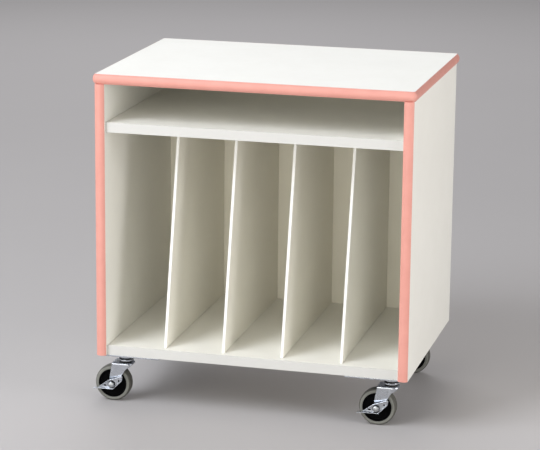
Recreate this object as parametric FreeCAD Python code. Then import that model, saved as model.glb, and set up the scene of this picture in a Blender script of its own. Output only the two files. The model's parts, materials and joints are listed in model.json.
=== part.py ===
import FreeCAD, Part

import math
import os

# Film file cart, in millimetres: +X right and +Y back as seen from the open front, +Z up.
# The origin is on the floor, under the middle of the top panel.

# Cabinet boards
CABINET_WIDTH = 640.0
SIDE_DEPTH = 450.0
SIDE_HEIGHT = 556.0
SIDE_THICKNESS = 20.0
TOP_THICKNESS = 20.0
TOP_REAR_OVERHANG = 8.0
TOP_CORNER_RADIUS = 5.0
SHELF_THICKNESS = 20.0
BOTTOM_THICKNESS = 20.0
BOARD_SETBACK = 6.0
COMPARTMENT_HEIGHT = 77.0
BACK_THICKNESS = 5.5
BACK_RECESS = 2.0
BACK_REBATE = 8.0

# Glued joints between the boards
GLUE_GAP = 0.1
HOUSING_DEPTH = 6.0
TONGUE_THICKNESS = 8.0
TONGUE_HEIGHT = 8.0
TONGUE_SETBACK = 30.0

# Upright dividers between the film slots
DIVIDER_COUNT = 4
DIVIDER_THICKNESS = 5.5
DIVIDER_FOOT_SETBACK = 20.0
DIVIDER_HEAD_SETBACK = 115.0
GROOVE_DEPTH = 4.0
GROOVE_GAP = 0.15

# Edge bands: a bull-nose on the top and sides, a flat strip on the shelf and bottom
NOSE_BULGE = 5.0
STEM_THICKNESS = 2.0
STEM_DEPTH = 9.0
EDGING_THICKNESS = 1.0

# Steel rails that carry the casters
RAIL_THICKNESS = 3.0
RAIL_WIDTH = 122.0
RAIL_INSET = 8.0
RAIL_CORNER_RADIUS = 4.0

# Places of the swivel axes, measured from the side boards
CASTER_SIDE_INSET = 43.5
CASTER_FRONT_INSET = 57.0
CASTER_REAR_INSET = 41.0

# Swivel head
PLATE_LENGTH = 64.0
PLATE_WIDTH = 52.0
PLATE_THICKNESS = 2.5
PLATE_CORNER_CUT = 5.0
CUP_DIAMETER = 31.0
CUP_DEPTH = 11.5
BEARING_DIAMETER = 28.0
BEARING_HEIGHT = 3.0
RACE_DIAMETER = 31.0
RACE_HEIGHT = 3.5
NECK_DIAMETER = 26.0
NECK_HEIGHT = 3.0
KINGPIN_DIAMETER = 10.0
KINGPIN_NUT_WIDTH = 17.0
KINGPIN_NUT_HEIGHT = 6.5

# Stamped fork
CASTER_TRAIL = 26.0
FORK_SHEET = 2.5
FORK_BEND_RADIUS = 1.5
FORK_PINCH = 1.5
PINCH_TOP = 15.0
PINCH_BOTTOM = 11.5
LEG_END_RADIUS = 7.0
LEG_FRONT_SLANT = 1.2
LEG_FLARE_DROP = 5.5
LEG_FLARE_BACK = 7.5
CROWN_BACK = 17.0
CROWN_CORNER_RADIUS = 12.0

# Wheel and axle
WHEEL_DIAMETER = 75.0
TYRE_WIDTH = 24.0
TYRE_THICKNESS = 7.8
TYRE_SHOULDER = 4.5
TYRE_SHOULDER_STEPS = 2
TYRE_TO_CROWN = 6.0
TYRE_TO_LEG = 2.5
HUB_RIM_INSET = 0.5
HUB_RIM_THICKNESS = 2.5
HUB_RECESS = 4.0
BOSS_DIAMETER = 22.0
BUSH_DIAMETER = 12.0
AXLE_DIAMETER = 8.0
BOLT_HEAD_WIDTH = 12.0
BOLT_HEAD_HEIGHT = 5.0
AXLE_NUT_HEIGHT = 6.5

# Brake lever: a dished pedal that turns on the front casters' axles
LEVER_SHEET = 1.4
LEVER_DEPTH = 7.5
LEVER_FLOOR_SCALE = 0.95
LEVER_NUT_GAP = 0.6
LEVER_TIP_REACH = 26.0
LEVER_TIP_HEIGHT = 21.0
LEVER_TIP_WIDTH = 11.5
LEVER_TIP_SLANT = 2.0
LEVER_SHOULDER_REACH = 6.0
LEVER_BELLY_REACH = 5.0
LEVER_HEEL_REACH = 31.0
LEVER_BEND_RADIUS = 6.0
LEVER_CORNER_RADIUS = 0.6
LEVER_BOSS_DIAMETER = 15.0
LEVER_BOSS_HEIGHT = 2.4
PEDAL_REACH = 38.5
PEDAL_ROOT = 24.0
PEDAL_DROP = 1.8
PEDAL_WIDTH = 10.0

# Running clearances
RUNNING_GAP = 0.05
END_FLOAT = 0.1

# Heights and planes that follow from the sizes above
TOP_DEPTH = SIDE_DEPTH + TOP_REAR_OVERHANG
SIDE_FRONT = -TOP_DEPTH / 2
SIDE_REAR = SIDE_FRONT + SIDE_DEPTH
SIDE_OUTER = CABINET_WIDTH / 2
SIDE_INNER = SIDE_OUTER - SIDE_THICKNESS
BOARD_FRONT = SIDE_FRONT + BOARD_SETBACK
BACK_FRONT = SIDE_REAR - BACK_RECESS - BACK_THICKNESS
CROWN_BASE = WHEEL_DIAMETER + TYRE_TO_CROWN
CROWN_TOP = CROWN_BASE + FORK_SHEET
RACE_BASE = CROWN_TOP + NECK_HEIGHT
RACE_TOP = RACE_BASE + RACE_HEIGHT
CUP_BASE = RACE_TOP + BEARING_HEIGHT
PLATE_BASE = CUP_BASE + CUP_DEPTH
CASTER_HEIGHT = PLATE_BASE + PLATE_THICKNESS
CABINET_BASE = CASTER_HEIGHT + RAIL_THICKNESS
BOTTOM_TOP = CABINET_BASE + BOTTOM_THICKNESS
TOP_UNDERSIDE = CABINET_BASE + SIDE_HEIGHT
SHELF_TOP = TOP_UNDERSIDE - COMPARTMENT_HEIGHT
SHELF_UNDERSIDE = SHELF_TOP - SHELF_THICKNESS
AXLE_HEIGHT = WHEEL_DIAMETER / 2
LEG_INNER = TYRE_WIDTH / 2 + TYRE_TO_LEG
LEG_OUTER = LEG_INNER + FORK_SHEET
EYE_INNER = LEG_INNER - FORK_PINCH
EYE_OUTER = LEG_OUTER - FORK_PINCH
LEVER_BACK = EYE_OUTER + END_FLOAT + LEVER_BOSS_HEIGHT
LEVER_FRONT = LEVER_BACK + LEVER_DEPTH
NUT_REACH = BOLT_HEAD_WIDTH / math.sqrt(3)
LEVER_WAIST = (NUT_REACH + LEVER_NUT_GAP + LEVER_SHEET) / LEVER_FLOOR_SCALE

ORIGIN = FreeCAD.Vector(0, 0, 0)
AXES = {
    "x": FreeCAD.Vector(1, 0, 0),
    "y": FreeCAD.Vector(0, 1, 0),
    "z": FreeCAD.Vector(0, 0, 1),
}


def block(x, y, z):
    """A box between the (low, high) pairs x, y and z."""
    low = FreeCAD.Vector(x[0], y[0], z[0])
    return Part.makeBox(x[1] - x[0], y[1] - y[0], z[1] - z[0], low)


def flat(u, v):
    """A point of an outline, before the outline is turned to its plane."""
    return FreeCAD.Vector(u, v, 0)


def outline(corners):
    """A closed wire through (u, v, radius) corners, each one rounded by its radius."""
    points = [flat(u, v) for u, v, radius in corners]
    stops = []
    edges = []
    for index, (u, v, radius) in enumerate(corners):
        corner = points[index]
        if radius == 0:
            stops.append((corner, corner))
            continue
        before = (points[index - 1] - corner).normalize()
        after = (points[(index + 1) % len(points)] - corner).normalize()
        half = before.getAngle(after) / 2
        start = corner + before * (radius / math.tan(half))
        end = corner + after * (radius / math.tan(half))
        bisector = (before + after).normalize()
        middle = corner + bisector * (radius / math.sin(half) - radius)
        edges.append(Part.Arc(start, middle, end).toShape())
        stops.append((start, end))
    for index, (start, end) in enumerate(stops):
        next_start = stops[(index + 1) % len(stops)][0]
        edges.append(Part.makeLine(end, next_start))
    return Part.Wire(Part.__sortEdges__(edges))


def turned_to(shape, axis):
    """A flat shape turned so that its plane faces along the axis."""
    if axis != "z":
        shape.rotate(ORIGIN, AXES["x"], 90)
    if axis == "x":
        shape.rotate(ORIGIN, AXES["z"], 90)
    return shape


def prism(wire, axis, low, high):
    """The wire's face pushed along the axis: (y, z), (x, z) or (x, y) outlines for x, y and z."""
    face = turned_to(Part.Face(wire), axis)
    face.translate(AXES[axis] * low)
    return face.extrude(AXES[axis] * (high - low))


def lathe(profile):
    """A solid turned about Z from (radius, height) points."""
    points = [FreeCAD.Vector(radius, 0, height) for radius, height in profile]
    face = Part.Face(Part.makePolygon(points + points[:1]))
    return face.revolve(ORIGIN, AXES["z"], 360)


def rod(diameter, low, high):
    """A round bar on the Z axis."""
    start = FreeCAD.Vector(0, 0, low)
    return Part.makeCylinder(diameter / 2, high - low, start)


def hexagon(width, low, high):
    """A hexagonal bar on the Z axis, measured across its flats."""
    reach = width / math.sqrt(3)
    turns = [math.radians(60 * step) for step in range(6)]
    corners = [(reach * math.cos(turn), reach * math.sin(turn), 0) for turn in turns]
    return prism(outline(corners), "z", low, high)


def across(shape):
    """A shape made on the Z axis, laid along Y on the wheel's axle."""
    shape.rotate(ORIGIN, AXES["x"], 90)
    shape.translate(FreeCAD.Vector(-CASTER_TRAIL, 0, AXLE_HEIGHT))
    return shape


def rectangle(half_x, half_y, radius):
    """A rounded rectangle about the origin, as outline corners."""
    signs = [(-1, -1), (1, -1), (1, 1), (-1, 1)]
    return [(half_x * x, half_y * y, radius) for x, y in signs]


def nose_section(thickness):
    """The bull-nose across a board's edge: u points out of the edge, v across its thickness."""
    arc = Part.Arc(flat(0, 0), flat(NOSE_BULGE, thickness / 2), flat(0, thickness))
    return Part.Wire([arc.toShape(), Part.makeLine(flat(0, thickness), flat(0, 0))])


def top_stem(gap):
    """The tongue of the top's edge band, a ring in mid thickness, grown by the gap."""
    half_x = CABINET_WIDTH / 2
    half_y = TOP_DEPTH / 2
    middle = TOP_UNDERSIDE + TOP_THICKNESS / 2
    low = middle - STEM_THICKNESS / 2 - gap
    high = middle + STEM_THICKNESS / 2 + gap
    depth = STEM_DEPTH + gap
    ring = prism(outline(rectangle(half_x, half_y, TOP_CORNER_RADIUS)), "z", low, high)
    hole = prism(outline(rectangle(half_x - depth, half_y - depth, 0)), "z", low, high)
    return ring.cut(hole)


def side_tongue(side, gap):
    """The tongue on a side board's upper edge, grown by the gap."""
    middle = side * (SIDE_OUTER - SIDE_THICKNESS / 2)
    half = TONGUE_THICKNESS / 2 + gap
    y = (SIDE_FRONT + TONGUE_SETBACK - gap, SIDE_REAR - TONGUE_SETBACK + gap)
    z = (TOP_UNDERSIDE, TOP_UNDERSIDE + TONGUE_HEIGHT + gap)
    return block((middle - half, middle + half), y, z)


def top_panel():
    """The top board, grooved round its edge for the band and below for the sides' tongues."""
    corners = rectangle(CABINET_WIDTH / 2, TOP_DEPTH / 2, TOP_CORNER_RADIUS)
    board = prism(outline(corners), "z", TOP_UNDERSIDE, TOP_UNDERSIDE + TOP_THICKNESS)
    board = board.cut(top_stem(GLUE_GAP))
    return board.cut(side_tongue(-1, GLUE_GAP)).cut(side_tongue(1, GLUE_GAP))


def top_edge_band():
    """The bull-nose band all round the top, on a stem that sits in the board's groove."""
    path = outline(rectangle(CABINET_WIDTH / 2, TOP_DEPTH / 2, TOP_CORNER_RADIUS))
    start = next(edge for edge in path.OrderedEdges if edge.Length > 2 * TOP_CORNER_RADIUS)
    middle = start.CenterOfMass
    section = nose_section(TOP_THICKNESS)
    section.rotate(ORIGIN, AXES["x"], 90)
    turn = math.degrees(math.atan2(middle.y, middle.x))
    section.rotate(ORIGIN, AXES["z"], turn)
    section.translate(FreeCAD.Vector(middle.x, middle.y, TOP_UNDERSIDE))
    path.translate(FreeCAD.Vector(0, 0, TOP_UNDERSIDE))
    nose = path.makePipeShell([section], True, False)
    return nose.fuse(top_stem(0)).removeSplitter()


def board_in_sides(z):
    """A level board whose ends sit in the side boards' housings, behind its edging."""
    reach = SIDE_INNER + HOUSING_DEPTH - GLUE_GAP
    return block((-reach, reach), (BOARD_FRONT + EDGING_THICKNESS, BACK_FRONT - GLUE_GAP), z)


def side_panel(side):
    """A side board with its band groove, board housings, back rebate and top tongue."""
    x = sorted((side * SIDE_INNER, side * SIDE_OUTER))
    board = block(x, (SIDE_FRONT, SIDE_REAR), (CABINET_BASE, TOP_UNDERSIDE))
    housing = sorted((side * SIDE_INNER, side * (SIDE_INNER + HOUSING_DEPTH)))
    for low, high in ((CABINET_BASE, BOTTOM_TOP), (SHELF_UNDERSIDE, SHELF_TOP)):
        board = board.cut(block(housing, (BOARD_FRONT, BACK_FRONT), (low, high)))
    rebate = sorted((side * SIDE_INNER, side * (SIDE_INNER + BACK_REBATE)))
    board = board.cut(block(rebate, (BACK_FRONT, SIDE_REAR), (CABINET_BASE, TOP_UNDERSIDE)))
    return board.cut(side_stem(side, GLUE_GAP)).fuse(side_tongue(side, 0)).removeSplitter()


def side_stem(side, gap):
    """The tongue of a side board's edge band, grown by the gap."""
    middle = side * (SIDE_OUTER - SIDE_THICKNESS / 2)
    half = STEM_THICKNESS / 2 + gap
    y = (SIDE_FRONT, SIDE_FRONT + STEM_DEPTH + gap)
    return block((middle - half, middle + half), y, (CABINET_BASE, TOP_UNDERSIDE))


def side_band(side):
    """The bull-nose band on a side board's front edge."""
    section = nose_section(SIDE_THICKNESS)
    section.rotate(ORIGIN, AXES["z"], -90)
    section.translate(FreeCAD.Vector(min(side * SIDE_INNER, side * SIDE_OUTER), SIDE_FRONT, 0))
    nose = prism(section, "z", CABINET_BASE, TOP_UNDERSIDE)
    return nose.fuse(side_stem(side, 0)).removeSplitter()


def divider_places():
    """The dividers' middles, spaced so that all the slots are equally wide."""
    slots = DIVIDER_COUNT + 1
    slot = (2 * SIDE_INNER - DIVIDER_COUNT * DIVIDER_THICKNESS) / slots
    pitch = slot + DIVIDER_THICKNESS
    return [-SIDE_INNER + index * pitch - DIVIDER_THICKNESS / 2 for index in range(1, slots)]


def divider(x, gap):
    """An upright with a slanted front, its foot and head in the boards' grooves."""
    foot = SIDE_FRONT + DIVIDER_FOOT_SETBACK
    head = SIDE_FRONT + DIVIDER_HEAD_SETBACK
    rear = BACK_FRONT - GLUE_GAP
    low = BOTTOM_TOP - GROOVE_DEPTH
    high = SHELF_UNDERSIDE + GROOVE_DEPTH
    corners = [
        (foot - gap, low - gap, 0),
        (rear, low - gap, 0),
        (rear, high + gap, 0),
        (head - gap, high + gap, 0),
        (head - gap, SHELF_UNDERSIDE, 0),
        (foot - gap, BOTTOM_TOP, 0),
    ]
    half = DIVIDER_THICKNESS / 2 + gap
    return prism(outline(corners), "x", x - half, x + half)


def grooved(board):
    """A board with a groove for each divider."""
    for x in divider_places():
        board = board.cut(divider(x, GROOVE_GAP))
    return board


def edging(z):
    """The flat strip on the front edge of a board between the sides."""
    reach = SIDE_INNER + HOUSING_DEPTH - GLUE_GAP
    return block((-reach, reach), (BOARD_FRONT, BOARD_FRONT + EDGING_THICKNESS), z)


def back_panel():
    """The thin back, in the side boards' rebates and over the other boards' rear edges."""
    reach = SIDE_INNER + BACK_REBATE - GLUE_GAP
    y = (BACK_FRONT, BACK_FRONT + BACK_THICKNESS)
    return block((-reach, reach), y, (CABINET_BASE, TOP_UNDERSIDE))


def caster_rail(side):
    """A flat steel rail under the cabinet, from the front boards to the back panel."""
    outer = SIDE_OUTER - RAIL_INSET
    half_x = RAIL_WIDTH / 2
    half_y = (BACK_FRONT - BOARD_FRONT) / 2
    rail = prism(
        outline(rectangle(half_x, half_y, RAIL_CORNER_RADIUS)), "z", CASTER_HEIGHT, CABINET_BASE
    )
    rail.translate(FreeCAD.Vector(side * (outer - half_x), (BACK_FRONT + BOARD_FRONT) / 2, 0))
    return rail


def base_plate():
    """The caster's top plate, with the swivel cup pressed down out of it."""
    half_x = PLATE_WIDTH / 2
    half_y = PLATE_LENGTH / 2
    cut = PLATE_CORNER_CUT
    corners = []
    for x, y in ((-1, -1), (1, -1), (1, 1), (-1, 1)):
        ends = [(half_x * x, (half_y - cut) * y, 0), ((half_x - cut) * x, half_y * y, 0)]
        corners += ends if x * y > 0 else ends[::-1]
    plate = prism(outline(corners), "z", PLATE_BASE, CASTER_HEIGHT)
    cup = rod(CUP_DIAMETER, CUP_BASE, PLATE_BASE)
    return plate.fuse(cup).cut(rod(KINGPIN_DIAMETER, CUP_BASE, CASTER_HEIGHT))


def kingpin():
    """The swivel pin, riveted flush into the plate, with its nut below the fork's crown."""
    nut_top = CROWN_BASE - END_FLOAT
    nut = hexagon(KINGPIN_NUT_WIDTH, nut_top - KINGPIN_NUT_HEIGHT, nut_top)
    return rod(KINGPIN_DIAMETER, nut_top, CASTER_HEIGHT).fuse(nut)


def bearing_ring():
    """The thrust bearing between the plate's cup and the fork's race."""
    ring = rod(BEARING_DIAMETER, RACE_TOP + END_FLOAT, CUP_BASE)
    return ring.cut(rod(KINGPIN_DIAMETER + 2 * RUNNING_GAP, RACE_TOP, CUP_BASE))


def touch_point(u, v, side):
    """Where a straight leg edge from (u, v) meets the round end about the axle."""
    turn = math.atan2(v, u) + side * math.acos(LEG_END_RADIUS / math.hypot(u, v))
    return flat(LEG_END_RADIUS * math.cos(turn), LEG_END_RADIUS * math.sin(turn))


def leg_outline():
    """A leg seen from the side, about the axle: straight edges that close round the axle's eye."""
    top = CROWN_TOP - AXLE_HEIGHT
    crown_back = CROWN_BACK + CASTER_TRAIL
    front = flat(LEG_FRONT_SLANT, top)
    flare = flat(crown_back - LEG_FLARE_DROP - LEG_FLARE_BACK, top - LEG_FLARE_DROP - LEG_FLARE_BACK)
    back = flat(crown_back, top - LEG_FLARE_DROP)
    front_touch = touch_point(front.x, front.y, 1)
    back_touch = touch_point(flare.x, flare.y, -1)
    lowest = (front_touch + back_touch).normalize() * LEG_END_RADIUS
    eye = Part.Arc(front_touch, lowest, back_touch).toShape()
    points = [back_touch, flare, back, flat(crown_back, top), front, front_touch]
    return Part.Wire([eye] + Part.makePolygon(points).Edges)


def fork():
    """The stamped fork: a crown bent down into two legs that are pinched in at the axle."""
    side = prism(leg_outline(), "y", -LEG_OUTER, LEG_OUTER)
    side.translate(FreeCAD.Vector(-CASTER_TRAIL, 0, AXLE_HEIGHT))
    outer_bend = FORK_BEND_RADIUS + FORK_SHEET
    pinch_top = AXLE_HEIGHT + PINCH_TOP
    pinch_bottom = AXLE_HEIGHT + PINCH_BOTTOM
    right_leg = [
        (LEG_OUTER, CROWN_TOP, outer_bend),
        (LEG_OUTER, pinch_top, 0),
        (EYE_OUTER, pinch_bottom, 0),
        (EYE_OUTER, 0, 0),
        (EYE_INNER, 0, 0),
        (EYE_INNER, pinch_bottom, 0),
        (LEG_INNER, pinch_top, 0),
        (LEG_INNER, CROWN_BASE, FORK_BEND_RADIUS),
    ]
    left_leg = [(-y, z, radius) for y, z, radius in reversed(right_leg)]
    front = -CASTER_TRAIL - LEG_END_RADIUS
    bent_strip = prism(outline(right_leg + left_leg), "x", front, CROWN_BACK)
    plan_corners = [
        (front, -LEG_OUTER, 0),
        (CROWN_BACK, -LEG_OUTER, CROWN_CORNER_RADIUS),
        (CROWN_BACK, LEG_OUTER, CROWN_CORNER_RADIUS),
        (front, LEG_OUTER, 0),
    ]
    plan = prism(outline(plan_corners), "z", 0, CROWN_TOP)
    race = lathe(
        [
            (0, CROWN_TOP),
            (NECK_DIAMETER / 2, CROWN_TOP),
            (NECK_DIAMETER / 2, RACE_BASE),
            (RACE_DIAMETER / 2, RACE_BASE),
            (RACE_DIAMETER / 2, RACE_TOP),
            (0, RACE_TOP),
        ]
    )
    body = bent_strip.common(side).common(plan).fuse(race)
    pin_bore = rod(KINGPIN_DIAMETER + 2 * RUNNING_GAP, CROWN_BASE, RACE_TOP)
    axle_bore = across(rod(AXLE_DIAMETER + 2 * RUNNING_GAP, -LEG_OUTER, LEG_OUTER))
    return body.cut(pin_bore).cut(axle_bore)


def axle_bolt(near_face):
    """The axle bolt through both legs, with its nut on the near face and its head behind."""
    shank = rod(AXLE_DIAMETER, -EYE_OUTER, near_face)
    head = hexagon(BOLT_HEAD_WIDTH, -EYE_OUTER - BOLT_HEAD_HEIGHT, -EYE_OUTER)
    nut = hexagon(BOLT_HEAD_WIDTH, near_face, near_face + AXLE_NUT_HEIGHT)
    return across(shank.fuse(head).fuse(nut))


def wheel_bush():
    """The steel bush that the bolt clamps between the legs, on which the wheel turns."""
    bush = rod(BUSH_DIAMETER, -EYE_INNER, EYE_INNER)
    return across(bush.cut(rod(AXLE_DIAMETER + 2 * RUNNING_GAP, -EYE_INNER, EYE_INNER)))


def wheel_hub():
    """The wheel's hub: a recessed web between the rim under the tyre and the boss on the bush."""
    bore = BUSH_DIAMETER / 2 + RUNNING_GAP
    boss = BOSS_DIAMETER / 2
    seat = WHEEL_DIAMETER / 2 - TYRE_THICKNESS
    rim = TYRE_WIDTH / 2 - HUB_RIM_INSET
    web = rim - HUB_RECESS
    face = EYE_INNER - END_FLOAT
    inner_rim = seat - HUB_RIM_THICKNESS
    half = [(bore, face), (boss, face), (boss, web), (inner_rim, web), (inner_rim, rim), (seat, rim)]
    mirrored = [(radius, -height) for radius, height in reversed(half)]
    return across(lathe(half + mirrored))


def tyre():
    """The solid tyre, with a flat tread and shoulders that turn down in even steps."""
    tread = WHEEL_DIAMETER / 2
    seat = tread - TYRE_THICKNESS
    half = TYRE_WIDTH / 2
    shoulder = []
    for step in range(TYRE_SHOULDER_STEPS + 1):
        turn = math.pi / 2 * step / TYRE_SHOULDER_STEPS
        radius = tread - TYRE_SHOULDER * (1 - math.cos(turn))
        shoulder.append((radius, half - TYRE_SHOULDER * (1 - math.sin(turn))))
    mirrored = [(radius, -height) for radius, height in reversed(shoulder)]
    return across(lathe([(seat, -half)] + mirrored + shoulder + [(seat, half)]))


def lever_rim():
    """The brake lever's outer edge about the axle, from its raised tip round to its heel."""
    tip_end = LEVER_TIP_REACH - LEVER_TIP_SLANT
    tip_base = LEVER_TIP_HEIGHT - LEVER_TIP_WIDTH
    corner = LEVER_SHEET + LEVER_CORNER_RADIUS
    return [
        (LEVER_TIP_REACH, LEVER_TIP_HEIGHT, corner),
        (tip_end, tip_base, LEVER_BEND_RADIUS),
        (LEVER_BELLY_REACH, -LEVER_WAIST, LEVER_BEND_RADIUS),
        (-LEVER_HEEL_REACH, -LEVER_WAIST, corner),
        (-LEVER_SHOULDER_REACH, LEVER_WAIST, LEVER_BEND_RADIUS),
    ]


def dish(inset, front, back):
    """A tapering plug between the lever's rim, moved in by the inset, and its smaller floor."""
    rim = outline(lever_rim())
    if inset > 0:
        rim = rim.makeOffset2D(-inset)
    floor = rim.copy()
    floor.scale(LEVER_FLOOR_SCALE)
    sections = [turned_to(rim, "y"), turned_to(floor, "y")]
    rim.translate(AXES["y"] * -front)
    floor.translate(AXES["y"] * -back)
    return Part.makeLoft(sections, True, True)


def brake_lever():
    """The brake lever: a dished stamping with a boss on the leg's eye and a thin foot pedal."""
    inner_floor = LEVER_BACK + LEVER_SHEET
    shell = dish(0, LEVER_FRONT, LEVER_BACK).cut(dish(LEVER_SHEET, LEVER_FRONT, inner_floor))
    pedal_end = -LEVER_WAIST - PEDAL_DROP
    pedal_corners = [
        (-PEDAL_REACH, pedal_end, 0),
        (-PEDAL_ROOT, -LEVER_WAIST, 0),
        (-PEDAL_ROOT, -LEVER_WAIST + LEVER_SHEET, 0),
        (-PEDAL_REACH, pedal_end + LEVER_SHEET, 0),
    ]
    pedal = prism(outline(pedal_corners), "y", -LEVER_FRONT, PEDAL_WIDTH - LEVER_FRONT)
    lever = shell.fuse(pedal)
    lever.translate(FreeCAD.Vector(-CASTER_TRAIL, 0, AXLE_HEIGHT))
    near = EYE_OUTER + END_FLOAT
    boss = across(rod(LEVER_BOSS_DIAMETER, near, inner_floor))
    bore = across(rod(AXLE_DIAMETER + 2 * RUNNING_GAP, near, inner_floor))
    return lever.fuse(boss).cut(bore).removeSplitter()


def save(node, shape):
    """One file for each sub-part, named after its node."""
    shape.exportStep(f"parts/{node}.step")


def save_caster(name, x, y, has_brake):
    """The sub-parts of one caster, moved to its swivel axis."""
    near_face = LEVER_BACK + LEVER_SHEET + END_FLOAT if has_brake else EYE_OUTER
    pieces = {
        "base_plate": base_plate(),
        "kingpin": kingpin(),
        "bearing_ring": bearing_ring(),
        "fork": fork(),
        "axle_bolt": axle_bolt(near_face),
        "wheel_bush": wheel_bush(),
        "hub": wheel_hub(),
        "tyre": tyre(),
    }
    if has_brake:
        pieces["brake_lever"] = brake_lever()
    for piece, shape in pieces.items():
        shape.translate(FreeCAD.Vector(x, y, 0))
        save(f"{name}_{piece}", shape)


def main():
    os.makedirs("parts", exist_ok=True)
    save("top_panel", top_panel())
    save("top_edge_band", top_edge_band())
    save("middle_shelf", grooved(board_in_sides((SHELF_UNDERSIDE, SHELF_TOP))))
    save("shelf_edging", edging((SHELF_UNDERSIDE, SHELF_TOP)))
    save("bottom_panel", grooved(board_in_sides((CABINET_BASE, BOTTOM_TOP))))
    save("bottom_edging", edging((CABINET_BASE, BOTTOM_TOP)))
    save("back_panel", back_panel())
    for number, x in enumerate(divider_places(), start=1):
        save(f"divider_{number}", divider(x, 0))
    for name, side in (("left", -1), ("right", 1)):
        save(f"{name}_side_panel", side_panel(side))
        save(f"{name}_side_band", side_band(side))
        save(f"{name}_caster_rail", caster_rail(side))
        x = side * (SIDE_OUTER - CASTER_SIDE_INSET)
        save_caster(f"front_{name}", x, SIDE_FRONT + CASTER_FRONT_INSET, True)
        save_caster(f"rear_{name}", x, SIDE_REAR - CASTER_REAR_INSET, False)


main()
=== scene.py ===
import json
import math

import bmesh
import bpy
from mathutils import Matrix, Vector


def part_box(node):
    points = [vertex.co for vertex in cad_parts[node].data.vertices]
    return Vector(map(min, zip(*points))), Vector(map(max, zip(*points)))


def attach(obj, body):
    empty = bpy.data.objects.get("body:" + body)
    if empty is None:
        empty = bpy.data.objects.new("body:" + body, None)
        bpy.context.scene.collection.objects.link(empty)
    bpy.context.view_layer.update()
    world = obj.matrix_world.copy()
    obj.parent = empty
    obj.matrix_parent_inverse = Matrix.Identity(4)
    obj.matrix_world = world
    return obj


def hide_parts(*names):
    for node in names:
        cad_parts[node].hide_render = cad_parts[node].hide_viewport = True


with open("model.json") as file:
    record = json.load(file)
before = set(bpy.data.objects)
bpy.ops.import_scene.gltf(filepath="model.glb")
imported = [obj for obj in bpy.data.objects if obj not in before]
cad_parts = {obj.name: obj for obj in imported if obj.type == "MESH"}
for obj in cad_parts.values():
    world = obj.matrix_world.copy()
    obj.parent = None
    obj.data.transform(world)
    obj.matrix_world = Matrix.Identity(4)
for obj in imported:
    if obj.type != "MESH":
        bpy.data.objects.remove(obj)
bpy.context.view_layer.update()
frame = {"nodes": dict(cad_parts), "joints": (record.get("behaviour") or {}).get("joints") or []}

# Film file cart, in metres and degrees: +X right and +Y back as seen from the open front, +Z up
CASTERS = ("front_left", "front_right", "rear_left", "rear_right")
BRAKED = CASTERS[:2]
HANDS = {"left": -1, "right": 1}

# Camera: its place, its turns and its focal length in pixels of the photograph
IMAGE_WIDTH = 540
CAMERA_PLACE = Vector((1.12092, -4.38199, 1.46999))
CAMERA_YAW = 14.6011
CAMERA_PITCH = 13.9209
CAMERA_ROLL = 0.5724
FOCAL_PIXELS = 2263.95
SENSOR_WIDTH = 36.0

# Studio: softboxes by place, size, power and tint, and the strength of the light from all round
LIT_POINT = Vector((0, 0, 0.35))
SOFTBOXES = {
    "key": ((-2.2, -2.6, 3.2), 2.2, 134, (0.95, 0.99, 1.05)),
    "key_left": ((-3.2, -1.2, 2.6), 2.0, 12.5, (1, 1, 1)),
    "front_left_low": ((-2.2, -3.6, 0.9), 2.0, 46, (1.01, 1, 0.98)),
    "front_low": ((0.0, -4.2, 0.8), 1.8, 42, (1.03, 1.02, 0.94)),
    "right_low": ((2.6, -0.8, 0.9), 1.6, 40, (1.02, 1, 0.98)),
    "back": ((-1.5, 4.5, 4.0), 4.0, 124, (0.98, 0.99, 1.03)),
}
ROOM_LIGHT = 0.277
FLOOR_REACH = 40

# Softened edges of boards, strips and sheet steel
BOARD_EDGE = 0.0004
STRIP_EDGE = 0.00025
SHEET_EDGE = 0.0004

# Cabinet: its boards, bull-nose bands, tapes and rails
TOP_CORNER_RADIUS = 0.005
NOSE_BULGE = 0.005
NOSE_STEPS = 14
NOSE_SMOOTH = 50
BAND_JOINT = 0.0004
TAPE_THICKNESS = 0.0006
BOARD_JOINT = 0.0001
SHADOW_GAP = 0.0004
RAIL_CORNER_RADIUS = 0.004

# Screws: a dome by shares of its radius and height, with a cross recess, and their places
SCREW_RADIUS = 0.004
SCREW_HEIGHT = 0.0018
SCREW_DOME = ((1, 0), (1, 0.3), (0.93, 0.65), (0.8, 0.88), (0.63, 1))
CROSS_HALF = 0.0006
CROSS_REACH = 0.0022
CROSS_DEPTH = 0.0011
CROSS_TAPER = 0.75
PLATE_SCREW_X = 0.019
PLATE_SCREW_Y = 0.025
RAIL_SCREW_X = 0.045
RAIL_SCREW_Y = 0.110
BACK_SCREW_INSET = 0.004
BACK_SCREW_MARGIN = 0.030
BACK_SCREW_LEVELS = (0, 0.25, 0.5, 0.75, 1)
BACK_SCREW_SPREAD = (-0.6, -0.2, 0.2, 0.6)

# Nuts: their end's chamfer, how much further it runs in than down, and their outline's points
NUT_CHAMFER = 0.0006
NUT_CHAMFER_SLOPE = 1.7
NUT_POINTS = 36

# Swivel head: base plate with its cup, ball bearing, kingpin, and the fork's race and neck
PLATE_THICKNESS = 0.0025
PLATE_CORNER_CUT = 0.005
PLATE_CORNER_RADIUS = 0.001
CUP_DIAMETER = 0.031
CUP_BEND = 0.0015
RACE_DIAMETER = 0.031
RACE_HEIGHT = 0.0035
RACE_EDGE = 0.0008
NECK_DIAMETER = 0.026
NECK_HEIGHT = 0.003
CAGE_BORE = 0.0055
BALL_SPACING = 1.08
KINGPIN_RADIUS = 0.005
KINGPIN_NUT_WIDTH = 0.017
KINGPIN_END_INSET = 0.0004
KINGPIN_TIP_WIDTH = 0.0007
KINGPIN_TIP_HEIGHT = 0.0006
END_FLOAT = 0.0001

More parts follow.
